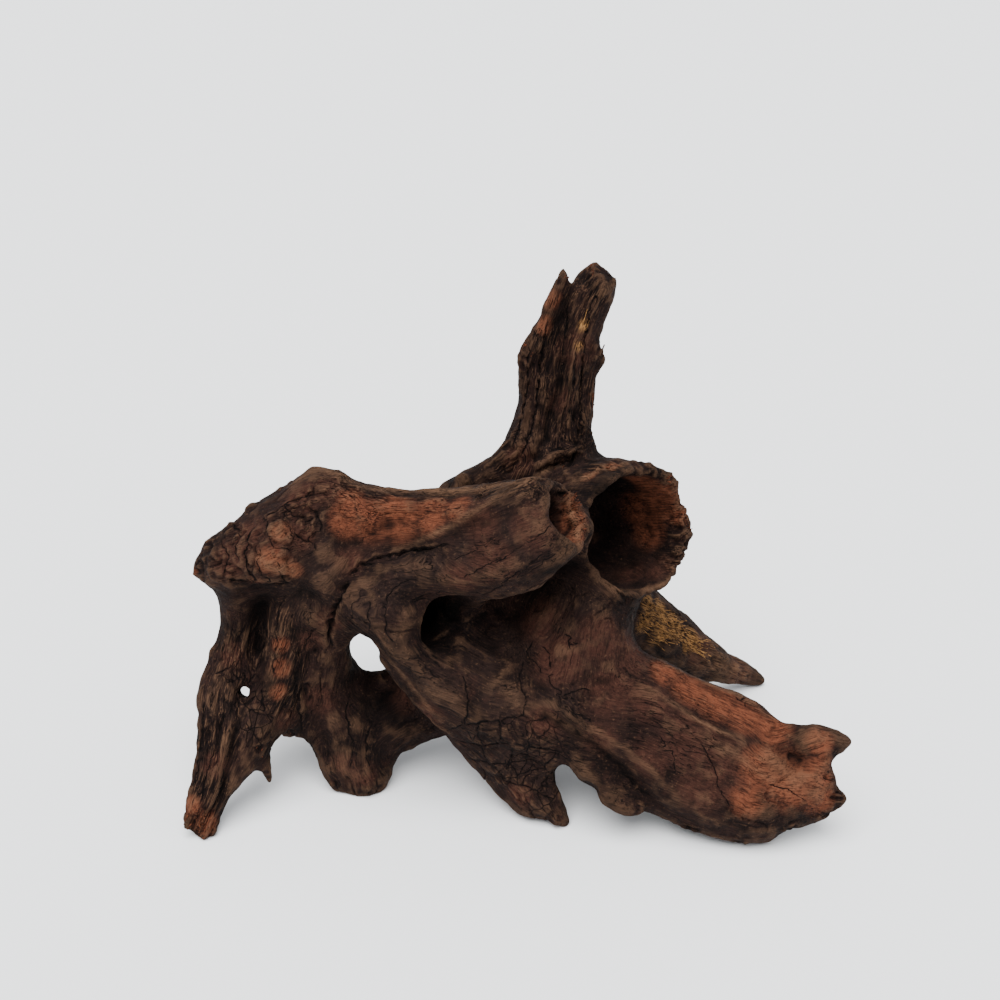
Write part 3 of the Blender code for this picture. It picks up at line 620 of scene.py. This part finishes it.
# Rubbed wear and painted highlight: lines along which the colour goes tan, on worn edges and on the tops of
# ridges and rims where light falls, and at the burls' lighter centres; width, strength and pixels.
WORN_AND_HIGHLIGHT_LINES = {
    "arm_edge": (1.6, 0.8, [(395, 550), (420, 541), (440, 531), (460, 521), (480, 509), (505, 495),
            (528, 482)]),
    "arm_edge_end": (1.8, 1.0, [(505, 495), (520, 486), (538, 476), (552, 468), (562, 463)]),
    "arm_top": (4.0, 0.8, [(344, 477), (365, 486), (400, 490), (440, 491), (480, 488), (520, 484)]),
    "head_top": (4.0, 0.7, [(296, 482), (312, 472), (326, 470), (342, 478)]),
    "strap_edge": (2.5, 0.56, [(374, 642), (386, 656), (400, 672), (414, 690), (428, 708), (440, 722)]),
    "strap_end": (5.1, 0.44, [(418, 688), (436, 694), (455, 700)]),
    "root_ridge": (1.6, 0.8, [(650, 690), (676, 706), (700, 721), (722, 731), (742, 737)]),
    "root_top": (1.2, 0.6, [(640, 641), (662, 661), (682, 670), (712, 684), (742, 697), (775, 719)]),
    "root_end": (5.0, 0.5, [(770, 760), (790, 775), (815, 785)]),
    "root_low": (3.0, 0.4, [(700, 735), (730, 752), (760, 772), (790, 792)]),
    "cup_top": (3.6, 0.95, [(574, 481), (586, 476), (600, 470), (622, 464)]),
    "fin_face": (8.0, 0.5, [(694, 652), (720, 664), (745, 675)]),
    "stub_rim": (2.5, 0.8, [(568, 500), (573, 516), (577, 534), (580, 548)]),
    "cup_lip": (2.2, 0.6, [(600, 580), (615, 588), (640, 590), (660, 586), (676, 574), (686, 558)]),
    "cup_side": (1.6, 0.7, [(688, 520), (690, 540), (686, 560)]),
    "trunk_ridge": (2.5, 0.4, [(528, 706), (546, 712), (566, 726), (590, 742), (612, 758)]),
    "trunk_patch": (4.2, 0.4, [(500, 685), (512, 696), (524, 708)]),
    "flap": (0.9, 0.8, [(520, 474), (540, 464), (556, 454), (570, 449), (584, 449)]),
    "flare": (1.2, 0.6, [(530, 410), (524, 436), (512, 462)]),
    "head_lip": (1.4, 0.48, [(228, 578), (244, 576), (262, 580), (284, 579)]),
    "knot_one": (4.0, 1.0, [(276, 529), (284, 535)]),
    "knot_two": (5.0, 1.0, [(264, 559), (274, 566), (292, 571)]),
    "lobe_face": (4.2, 0.28, [(338, 760), (350, 775), (364, 772)]),
    "under_ridge": (1.6, 0.4, [(570, 716), (600, 732), (630, 752), (655, 775), (678, 800)]),
    "fin_top": (1.5, 0.6, [(700, 636), (725, 650), (750, 668)]),
}
# Painted shade: lines along which the colour is darkened towards near black where shade falls, in the recess
# under the arm, inside the cup, behind the window and down the grooves; width, strength and pixels.
PAINTED_SHADE = {
    "recess": (11.0, 1.0, [(452, 604), (440, 613), (432, 624), (430, 636)]),
    "recess_soft": (14.0, 0.9, [(466, 606), (448, 622), (438, 644)]),
    "under_stub": (6.0, 1.0, [(534, 580), (552, 570), (572, 565), (590, 562)]),
    "cup_deep": (13.0, 0.55, [(604, 500), (606, 522), (612, 545), (628, 556)]),
    "cup_mouth": (8.0, 1.0, [(591, 504), (598, 494), (607, 486), (619, 478)]),
    "cup_mid": (10.0, 0.25, [(636, 520), (648, 540), (650, 560)]),
    "stub_pocket": (4.0, 0.7, [(553, 488), (551, 505), (553, 524)]),
    "column": (5.0, 0.8, [(259, 590), (258, 612), (258, 640), (262, 660)]),
    "under_brow": (5.0, 0.6, [(214, 592), (232, 596), (246, 598)]),
    "behind_window": (9.0, 1.0, [(372, 692), (384, 704), (394, 716), (404, 728)]),
    "behind_low": (7.0, 0.8, [(358, 700), (372, 712), (384, 728)]),
    "web_side": (3.4, 0.48, [(303, 650), (297, 672), (296, 700)]),
    "spire_groove": (2.5, 0.7, [(566, 300), (566, 330), (560, 372), (553, 410)]),
    "leg_groove": (2.1, 0.56, [(244, 704), (236, 730), (228, 757), (222, 785), (218, 812)]),
    "eye": (6.0, 1.0, [(788, 757), (797, 760), (804, 763)]),
    "fin_base": (4.0, 0.6, [(640, 612), (646, 628), (660, 644)]),
    "under_flap": (3.0, 1.0, [(550, 469), (563, 464), (580, 461)]),
    "rim_foot": (2.5, 0.8, [(592, 484), (606, 479), (620, 472)]),
}
STRAW = [(648, 602, 9), (663, 613, 9), (676, 626, 9), (690, 640, 8), (646, 622, 8), (660, 636, 8),
         (583, 326, 3), (579, 346, 3)]


def keep(mesh, name, values):
    """Stores a number or a vector for each point under the name."""
    kind = "FLOAT" if values.ndim == 1 else "FLOAT_VECTOR"
    kept = mesh.attributes.new(name, kind, "POINT")
    kept.data.foreach_set("value" if kind == "FLOAT" else "vector", values.astype(np.float32).ravel())


def hollowness(mesh, rounds):
    """How far each point lies below what surrounds it, in millimetres."""
    points = points_of(mesh)
    edges = np.empty(len(mesh.edges) * 2, np.int32)
    mesh.edges.foreach_get("vertices", edges)
    starts, ends = edges.reshape(-1, 2).T
    count = np.bincount(starts, minlength=len(points)) + np.bincount(ends, minlength=len(points))
    evened = points.copy()
    for _ in range(rounds):
        for axis in range(3):
            around = np.bincount(starts, evened[ends, axis], len(points))
            around += np.bincount(ends, evened[starts, axis], len(points))
            evened[:, axis] = around / count
    return ((evened - points) * normals_of(mesh)).sum(axis=1)


log_points = points_of(log.data)
fibre_places, fibre_ways = grain_of(log_points)
keep(log.data, "grain", fibre_places)
keep(log.data, "way", fibre_ways)
keep(log.data, "dip", hollowness(log.data, 8))
gaps, shares = crack_gaps(log_points)
keep(log.data, "crack_gap", gaps)
keep(log.data, "crack_share", shares)
marks = {"red": WORN_RED, "warm": WARM, "dusty": DUSTY, "straw": STRAW, "plated": PLATED, "fibrous": FIBROUS}
for name, places in marks.items():
    keep(log.data, name, spots(log_points, places))
# The tan lines are rubbed wear and painted highlight; the shade lines are painted shade.
for name, lines in {"tan": WORN_AND_HIGHLIGHT_LINES, "shaded": PAINTED_SHADE}.items():
    most = np.zeros(len(log_points))
    for width, strength, corners in lines.values():
        which, distance, _, along = beside(log_points, drawn(corners), 2.5 * width)
        most[which] = np.maximum(most[which], strength * fading(along, 4.0, 0.5) * bell(distance, width))
    keep(log.data, name, most)

# The wood's finish.
# Ebony-dark driftwood, dry and unpolished: near black in its cracks, umber on its faces, with a rubbed edge
# here and there, painted highlights on lit ridges and rims, and painted shade in hollows and creases. Fine
# lines about 1 mm apart follow the fibres, and small checks open along them.


def linear(code):
    """A colour written as sRGB hex, in linear light."""
    channels = [int(code[start : start + 2], 16) / 255.0 for start in (1, 3, 5)]
    return (*[c / 12.92 if c <= 0.04045 else ((c + 0.055) / 1.055) ** 2.4 for c in channels], 1.0)


def add_node(tree, kind, sockets=None, **settings):
    """Adds a node with its own settings; sockets holds its inputs' values or the outputs that feed them."""
    made = tree.nodes.new(kind)
    for name, value in settings.items():
        setattr(made, name, value)
    for name, value in (sockets or {}).items():
        if isinstance(value, bpy.types.NodeSocket):
            tree.links.new(value, made.inputs[name])
        else:
            made.inputs[name].default_value = value
    return made


UMBER = linear("#211411")
DARK_UMBER = linear("#110908")
CRACK_BLACK = linear("#050303")
HEART_RED = linear("#663927")
WARM_BROWN = linear("#38211a")
DUST_BROWN = linear("#231815")
WORN_AND_HIGHLIGHT_TAN = linear("#664b38")
STRAW_GOLD = linear("#936a3e")
WOOD_ROUGHNESS = 0.9
WOOD_GLOSS = 0.08
BUMP_DEPTH = 0.0012

wood = bpy.data.materials.new("weathered ebony driftwood")
wood.use_nodes = True
tree = wood.node_tree
shader = tree.nodes["Principled BSDF"]
shader.inputs["Roughness"].default_value = WOOD_ROUGHNESS
shader.inputs["Specular IOR Level"].default_value = WOOD_GLOSS


def mark(name):
    return add_node(tree, "ShaderNodeAttribute", attribute_name=name).outputs["Fac"]


fibres = add_node(tree, "ShaderNodeAttribute", attribute_name="grain").outputs["Vector"]
place = add_node(tree, "ShaderNodeTexCoord").outputs["Object"]


def grain_noise(across_mm, along_mm, detail):
    """Noise drawn out along the fibres; the sizes are a wave's width and length."""
    stretch = (1 / across_mm, 1 / across_mm, 1 / along_mm)
    drawn_out = add_node(tree, "ShaderNodeMapping", {"Vector": fibres, "Scale": stretch}).outputs["Vector"]
    sockets = {"Vector": drawn_out, "Scale": 1.0, "Detail": detail, "Roughness": 0.62}
    return add_node(tree, "ShaderNodeTexNoise", sockets).outputs["Fac"]


def even_noise(size_mm, detail):
    sockets = {"Vector": place, "Scale": 1000 / size_mm, "Detail": detail, "Roughness": 0.6}
    return add_node(tree, "ShaderNodeTexNoise", sockets).outputs["Fac"]


def ranged(value, low, high, to_low=0.0, to_high=1.0):
    sockets = {"Value": value, "From Min": low, "From Max": high, "To Min": to_low, "To Max": to_high}
    return add_node(tree, "ShaderNodeMapRange", sockets).outputs["Result"]


def worked(operation, one, other=0.0):
    return add_node(tree, "ShaderNodeMath", {0: one, 1: other}, operation=operation).outputs[0]


def laid_over(amount, under, over):
    sockets = {"Factor": amount, 6: under, 7: over}
    return add_node(tree, "ShaderNodeMix", sockets, data_type="RGBA").outputs[2]


lines = grain_noise(0.9, 14.0, 4.0)
streaks = grain_noise(3.2, 50.0, 3.0)
mottle = even_noise(26.0, 5.0)
patches = even_noise(7.0, 4.0)
grit = even_noise(1.8, 3.0)
fibrous_share = mark("fibrous")
checks = worked("ABSOLUTE", worked("SUBTRACT", grain_noise(3.4, 45.0, 2.0), 0.5))
checks = ranged(checks, 0.0, 0.016, 1.0, 0.0)
checks = worked("MULTIPLY", checks, ranged(even_noise(30.0, 1.0), 0.5, 0.58))
tile_size = {"Vector": fibres, "Scale": (1 / 8.0, 1 / 8.0, 1 / 11.0)}
tile_place = add_node(tree, "ShaderNodeMapping", tile_size).outputs["Vector"]
tile_sockets = {"Vector": tile_place, "Scale": 1.0, "Randomness": 1.0}
tile_edge = add_node(tree, "ShaderNodeTexVoronoi", tile_sockets, feature="DISTANCE_TO_EDGE")
tile_edge = tile_edge.outputs["Distance"]
tile_cracks = worked("MULTIPLY", ranged(tile_edge, 0.0, 0.04, 1.0, 0.0), mark("plated"))
tile_cracks = worked("MULTIPLY", tile_cracks, ranged(mottle, 0.42, 0.52))
wander = ranged(even_noise(3.0, 2.0), 0.3, 0.7, -0.35, 0.35)
crack_line = ranged(worked("ABSOLUTE", worked("ADD", mark("crack_gap"), wander)), 0.35, 0.9, 1.0, 0.0)
crack_line = worked("MULTIPLY", crack_line, ranged(mark("crack_share"), 0.1, 0.4))
cracks = worked("MAXIMUM", worked("MAXIMUM", checks, tile_cracks), crack_line)

red_share = worked("MULTIPLY", mark("red"), ranged(worked("ADD", lines, patches), 0.8, 1.1, 0.35, 0.95))
worn_and_highlight_share = worked("MULTIPLY", mark("tan"), ranged(patches, 0.32, 0.6, 0.35, 1.0))
straw_share = worked("MULTIPLY", mark("straw"), ranged(lines, 0.44, 0.56, 0.15, 1.0))
colour = laid_over(ranged(mottle, 0.4, 0.58), DARK_UMBER, UMBER)
dust_share = worked("MULTIPLY", mark("dusty"), ranged(patches, 0.35, 0.6, 0.55, 0.9))
colour = laid_over(dust_share, colour, DUST_BROWN)
warm_share = worked("MULTIPLY", mark("warm"), ranged(patches, 0.3, 0.55, 0.4, 1.0))
colour = laid_over(warm_share, colour, WARM_BROWN)
colour = laid_over(ranged(patches, 0.46, 0.3, 0.0, 0.35), colour, DARK_UMBER)
colour = laid_over(red_share, colour, HEART_RED)
# Tan rubbed wear, which also paints highlights on lit ridges and rims.
colour = laid_over(worn_and_highlight_share, colour, WORN_AND_HIGHLIGHT_TAN)
colour = laid_over(straw_share, colour, STRAW_GOLD)
colour = laid_over(ranged(patches, 0.56, 0.72, 0.0, 0.3), colour, WARM_BROWN)
colour = laid_over(ranged(grit, 0.6, 0.74, 0.0, 0.35), colour, WORN_AND_HIGHLIGHT_TAN)
colour = laid_over(ranged(grit, 0.44, 0.28, 0.0, 0.45), colour, CRACK_BLACK)
colour = laid_over(ranged(mark("dip"), -0.2, -0.9, 0.0, 0.3), colour, WORN_AND_HIGHLIGHT_TAN)
dark_lines = worked("MULTIPLY", ranged(lines, 0.52, 0.34), worked("MULTIPLY", fibrous_share, 0.45))
colour = laid_over(worked("ADD", dark_lines, ranged(lines, 0.49, 0.36, 0.0, 0.5)), colour, CRACK_BLACK)
light_share = worked("ADD", worked("MULTIPLY", fibrous_share, 0.55), 0.15)
light_lines = worked("MULTIPLY", ranged(lines, 0.54, 0.7), light_share)
colour = laid_over(light_lines, colour, WORN_AND_HIGHLIGHT_TAN)
colour = laid_over(ranged(streaks, 0.5, 0.32, 0.0, 0.3), colour, DARK_UMBER)
colour = laid_over(worked("MULTIPLY", cracks, 0.95), colour, CRACK_BLACK)
# Painted shade: the deeper a point lies below what surrounds it, the nearer black its colour.
colour = laid_over(ranged(mark("dip"), 0.25, 1.2, 0.0, 0.85), colour, CRACK_BLACK)
# Painted shade: the colour goes near black along the painted-shade lines.
colour = laid_over(worked("MULTIPLY", mark("shaded"), 0.85), colour, CRACK_BLACK)
tree.links.new(colour, shader.inputs["Base Color"])

ups = worked("ADD", worked("MULTIPLY", lines, 0.9), worked("MULTIPLY", grit, 0.5))
ups = worked("ADD", ups, worked("MULTIPLY", streaks, 0.6))
ups = worked("ADD", ups, worked("MULTIPLY", patches, 0.8))
ups = worked("SUBTRACT", ups, cracks)
bump = add_node(tree, "ShaderNodeBump", {"Height": ups, "Strength": 1.0, "Distance": BUMP_DEPTH})
tree.links.new(bump.outputs["Normal"], shader.inputs["Normal"])
log.data.materials.clear()
log.data.materials.append(wood)

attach(log, "root")
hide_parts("log")

# The torn fibres.
# Where the wood broke or was gnawed, its fibres stand up along the grain, still rooted in it. Fine straw ones
# stand at the low rear root and on the spire, and short dark splinters on the broken rims and the leg's tip.

SHAGGY = [(648, 606, 6), (660, 617, 7), (674, 630, 7), (690, 645, 6), (646, 620, 7), (660, 636, 7),
          (583, 328, 2)]
SPLINTERED = [(572, 500, 6), (576, 530, 6), (688, 530, 3), (204, 828, 6), (188, 822, 5), (592, 272, 4),
              (562, 278, 4), (600, 355, 4), (592, 400, 5), (594, 430, 5), (528, 345, 5), (292, 733, 4),
              (262, 750, 4), (280, 665, 5), (836, 775, 3), (606, 468, 4), (560, 468, 4), (672, 480, 5)]
FIBRE_BEND = ((0.0, 0.0, -0.2), (0.05, 0.0, 0.4), (0.22, 0.0, 1.0))
FIBRE_SIDES = 4
FIBRE_TIP = 0.15


def fibre_tree():
    """Geometry Nodes that stand bent, tapering fibres along the grain wherever the wood is shaggy."""
    tree = bpy.data.node_groups.new("torn fibres", "GeometryNodeTree")
    for name, kind in {"Geometry": "Geometry", "Per Square Metre": "Float", "Length": "Float",
                       "Thickness": "Float", "Lean": "Float", "Seed": "Int", "Material": "Material"}.items():
        tree.interface.new_socket(name, in_out="INPUT", socket_type=f"NodeSocket{kind}")
    tree.interface.new_socket("Geometry", in_out="OUTPUT", socket_type="NodeSocketGeometry")
    given = tree.nodes.new("NodeGroupInput").outputs
    shaggy = add_node(tree, "GeometryNodeInputNamedAttribute", {"Name": "shaggy"}, data_type="FLOAT")
    way = add_node(tree, "GeometryNodeInputNamedAttribute", {"Name": "way"}, data_type="FLOAT_VECTOR")
    density = add_node(tree, "ShaderNodeMath", {0: given["Per Square Metre"], 1: shaggy.outputs["Attribute"]},
                       operation="MULTIPLY")
    scattered = add_node(tree, "GeometryNodeDistributePointsOnFaces",
                         {"Mesh": given["Geometry"], "Density": density.outputs[0], "Seed": given["Seed"]})
    spine = add_node(tree, "GeometryNodeCurveQuadraticBezier",
                     {"Resolution": 4, "Start": FIBRE_BEND[0], "Middle": FIBRE_BEND[1], "End": FIBRE_BEND[2]})
    along = add_node(tree, "GeometryNodeSplineParameter").outputs["Factor"]
    taper = add_node(tree, "ShaderNodeMapRange", {"Value": along, "To Min": 1.0, "To Max": FIBRE_TIP})
    tapered = add_node(tree, "GeometryNodeSetCurveRadius",
                       {"Curve": spine.outputs[0], "Radius": taper.outputs[0]})
    slimness = add_node(tree, "ShaderNodeMath", {0: given["Thickness"], 1: given["Length"]},
                        operation="DIVIDE")
    section = add_node(tree, "GeometryNodeCurvePrimitiveCircle",
                       {"Resolution": FIBRE_SIDES, "Radius": slimness.outputs[0]})
    fibre = add_node(tree, "GeometryNodeCurveToMesh",
                     {"Curve": tapered.outputs[0], "Profile Curve": section.outputs[0], "Fill Caps": True})
    along_grain = add_node(tree, "FunctionNodeAlignRotationToVector", {"Vector": way.outputs["Attribute"]},
                           axis="Z")
    lean = given["Lean"]
    less = add_node(tree, "ShaderNodeMath", {0: 0.0, 1: lean}, operation="SUBTRACT").outputs[0]
    turns = [add_node(tree, "FunctionNodeRandomValue", {2: low, 3: high, "Seed": seed}).outputs[1]
             for seed, low, high in ((1, less, lean), (2, less, lean), (3, 0.0, 2.0 * math.pi))]
    turn = add_node(tree, "ShaderNodeCombineXYZ", {0: turns[0], 1: turns[1], 2: turns[2]})
    turn = add_node(tree, "FunctionNodeEulerToRotation", {"Euler": turn.outputs[0]})
    turned = add_node(tree, "FunctionNodeRotateRotation",
                      {"Rotation": along_grain.outputs[0], "Rotate By": turn.outputs[0]},
                      rotation_space="LOCAL")
    share = add_node(tree, "FunctionNodeRandomValue", {2: 0.4, 3: 1.2, "Seed": 4}).outputs[1]
    size = add_node(tree, "ShaderNodeMath", {0: given["Length"], 1: share}, operation="MULTIPLY")
    standing = add_node(tree, "GeometryNodeInstanceOnPoints",
                        {"Points": scattered.outputs["Points"], "Instance": fibre.outputs[0],
                         "Rotation": turned.outputs[0], "Scale": size.outputs[0]})
    real = add_node(tree, "GeometryNodeRealizeInstances", {"Geometry": standing.outputs[0]})
    clad = add_node(tree, "GeometryNodeSetMaterial",
                    {"Geometry": real.outputs[0], "Material": given["Material"]})
    add_node(tree, "NodeGroupOutput", {"Geometry": clad.outputs[0]})
    return tree


def fibres_at(name, places, tree, values):
    """The fibres that stand at these places of the wood, as one plain mesh."""
    fibres = link_piece(name, log.data.copy())
    keep(fibres.data, "shaggy", spots(log_points, places))
    growth = fibres.modifiers.new("growth", "NODES")
    growth.node_group = tree
    for socket in tree.interface.items_tree:
        if socket.name in values:
            growth[socket.identifier] = values[socket.name]
    evaluated(fibres)
    fibre_points = points_of(fibres.data)
    fibre_points[:, 2] = np.maximum(fibre_points[:, 2], GROUND)
    place_points(fibres.data, fibre_points)
    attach(fibres, "root")
    return fibres


def fibre_material(name, colour):
    """Dry torn wood fibre: matt, one colour, a little lighter or darker from place to place."""
    material = bpy.data.materials.new(name)
    material.use_nodes = True
    tree = material.node_tree
    place = add_node(tree, "ShaderNodeTexCoord").outputs["Object"]
    varied = add_node(tree, "ShaderNodeTexNoise", {"Vector": place, "Scale": 400.0, "Detail": 1.0})
    share = add_node(tree, "ShaderNodeMapRange",
                     {"Value": varied.outputs["Fac"], "From Min": 0.35, "From Max": 0.65})
    mixed = add_node(tree, "ShaderNodeMix", {"Factor": share.outputs[0], 6: DARK_UMBER, 7: colour},
                     data_type="RGBA")
    tree.links.new(mixed.outputs[2], tree.nodes["Principled BSDF"].inputs["Base Color"])
    tree.nodes["Principled BSDF"].inputs["Roughness"].default_value = 0.8
    tree.nodes["Principled BSDF"].inputs["Specular IOR Level"].default_value = 0.1
    return material


grown = fibre_tree()
straw = fibre_material("torn straw-coloured fibre", linear("#a47747"))
splinter_wood = fibre_material("torn red-brown splinter", linear("#5c3220"))
fibres_at("straw_fibres", SHAGGY, grown, {
    "Per Square Metre": 260000.0, "Length": 0.013, "Thickness": 0.0002, "Lean": 0.3, "Seed": 3,
    "Material": straw})
fibres_at("splinters", SPLINTERED, grown, {
    "Per Square Metre": 80000.0, "Length": 0.0032, "Thickness": 0.00045, "Lean": 0.35, "Seed": 5,
    "Material": splinter_wood})

# The studio.
# A pale seamless sheet under a broad soft light from above and in front, in a pale room. The light comes from
# a wide panel, so the stump's shadow is soft.

PAPER_SIZE = 12.0
ROOM_LIGHT = 1.05
PANEL_LIGHT = 6.3
PANEL_WIDTH = math.radians(55)
PANEL_WAY = (0.12, 0.35, -1.0)

sheet = bmesh.new()
bmesh.ops.create_grid(sheet, x_segments=1, y_segments=1, size=PAPER_SIZE)
floor_mesh = bpy.data.meshes.new("studio_floor")
sheet.to_mesh(floor_mesh)
sheet.free()
floor = link_piece("studio_floor", floor_mesh)
paper = bpy.data.materials.new("pale seamless paper")
paper.use_nodes = True
paper.node_tree.nodes["Principled BSDF"].inputs["Base Color"].default_value = linear("#f2f3f4")
paper.node_tree.nodes["Principled BSDF"].inputs["Roughness"].default_value = 0.9
floor.data.materials.append(paper)

room = bpy.data.worlds.new("pale room")
room.use_nodes = True
room.node_tree.nodes["Background"].inputs["Color"].default_value = linear("#f2f5f8")
room.node_tree.nodes["Background"].inputs["Strength"].default_value = ROOM_LIGHT
bpy.context.scene.world = room

sky_panel = bpy.data.lights.new("soft panel", "SUN")
sky_panel.energy = PANEL_LIGHT
sky_panel.angle = PANEL_WIDTH
panel = bpy.data.objects.new("soft panel", sky_panel)
panel.rotation_euler = Vector(PANEL_WAY).to_track_quat("-Z", "Y").to_euler()
bpy.context.scene.collection.objects.link(panel)
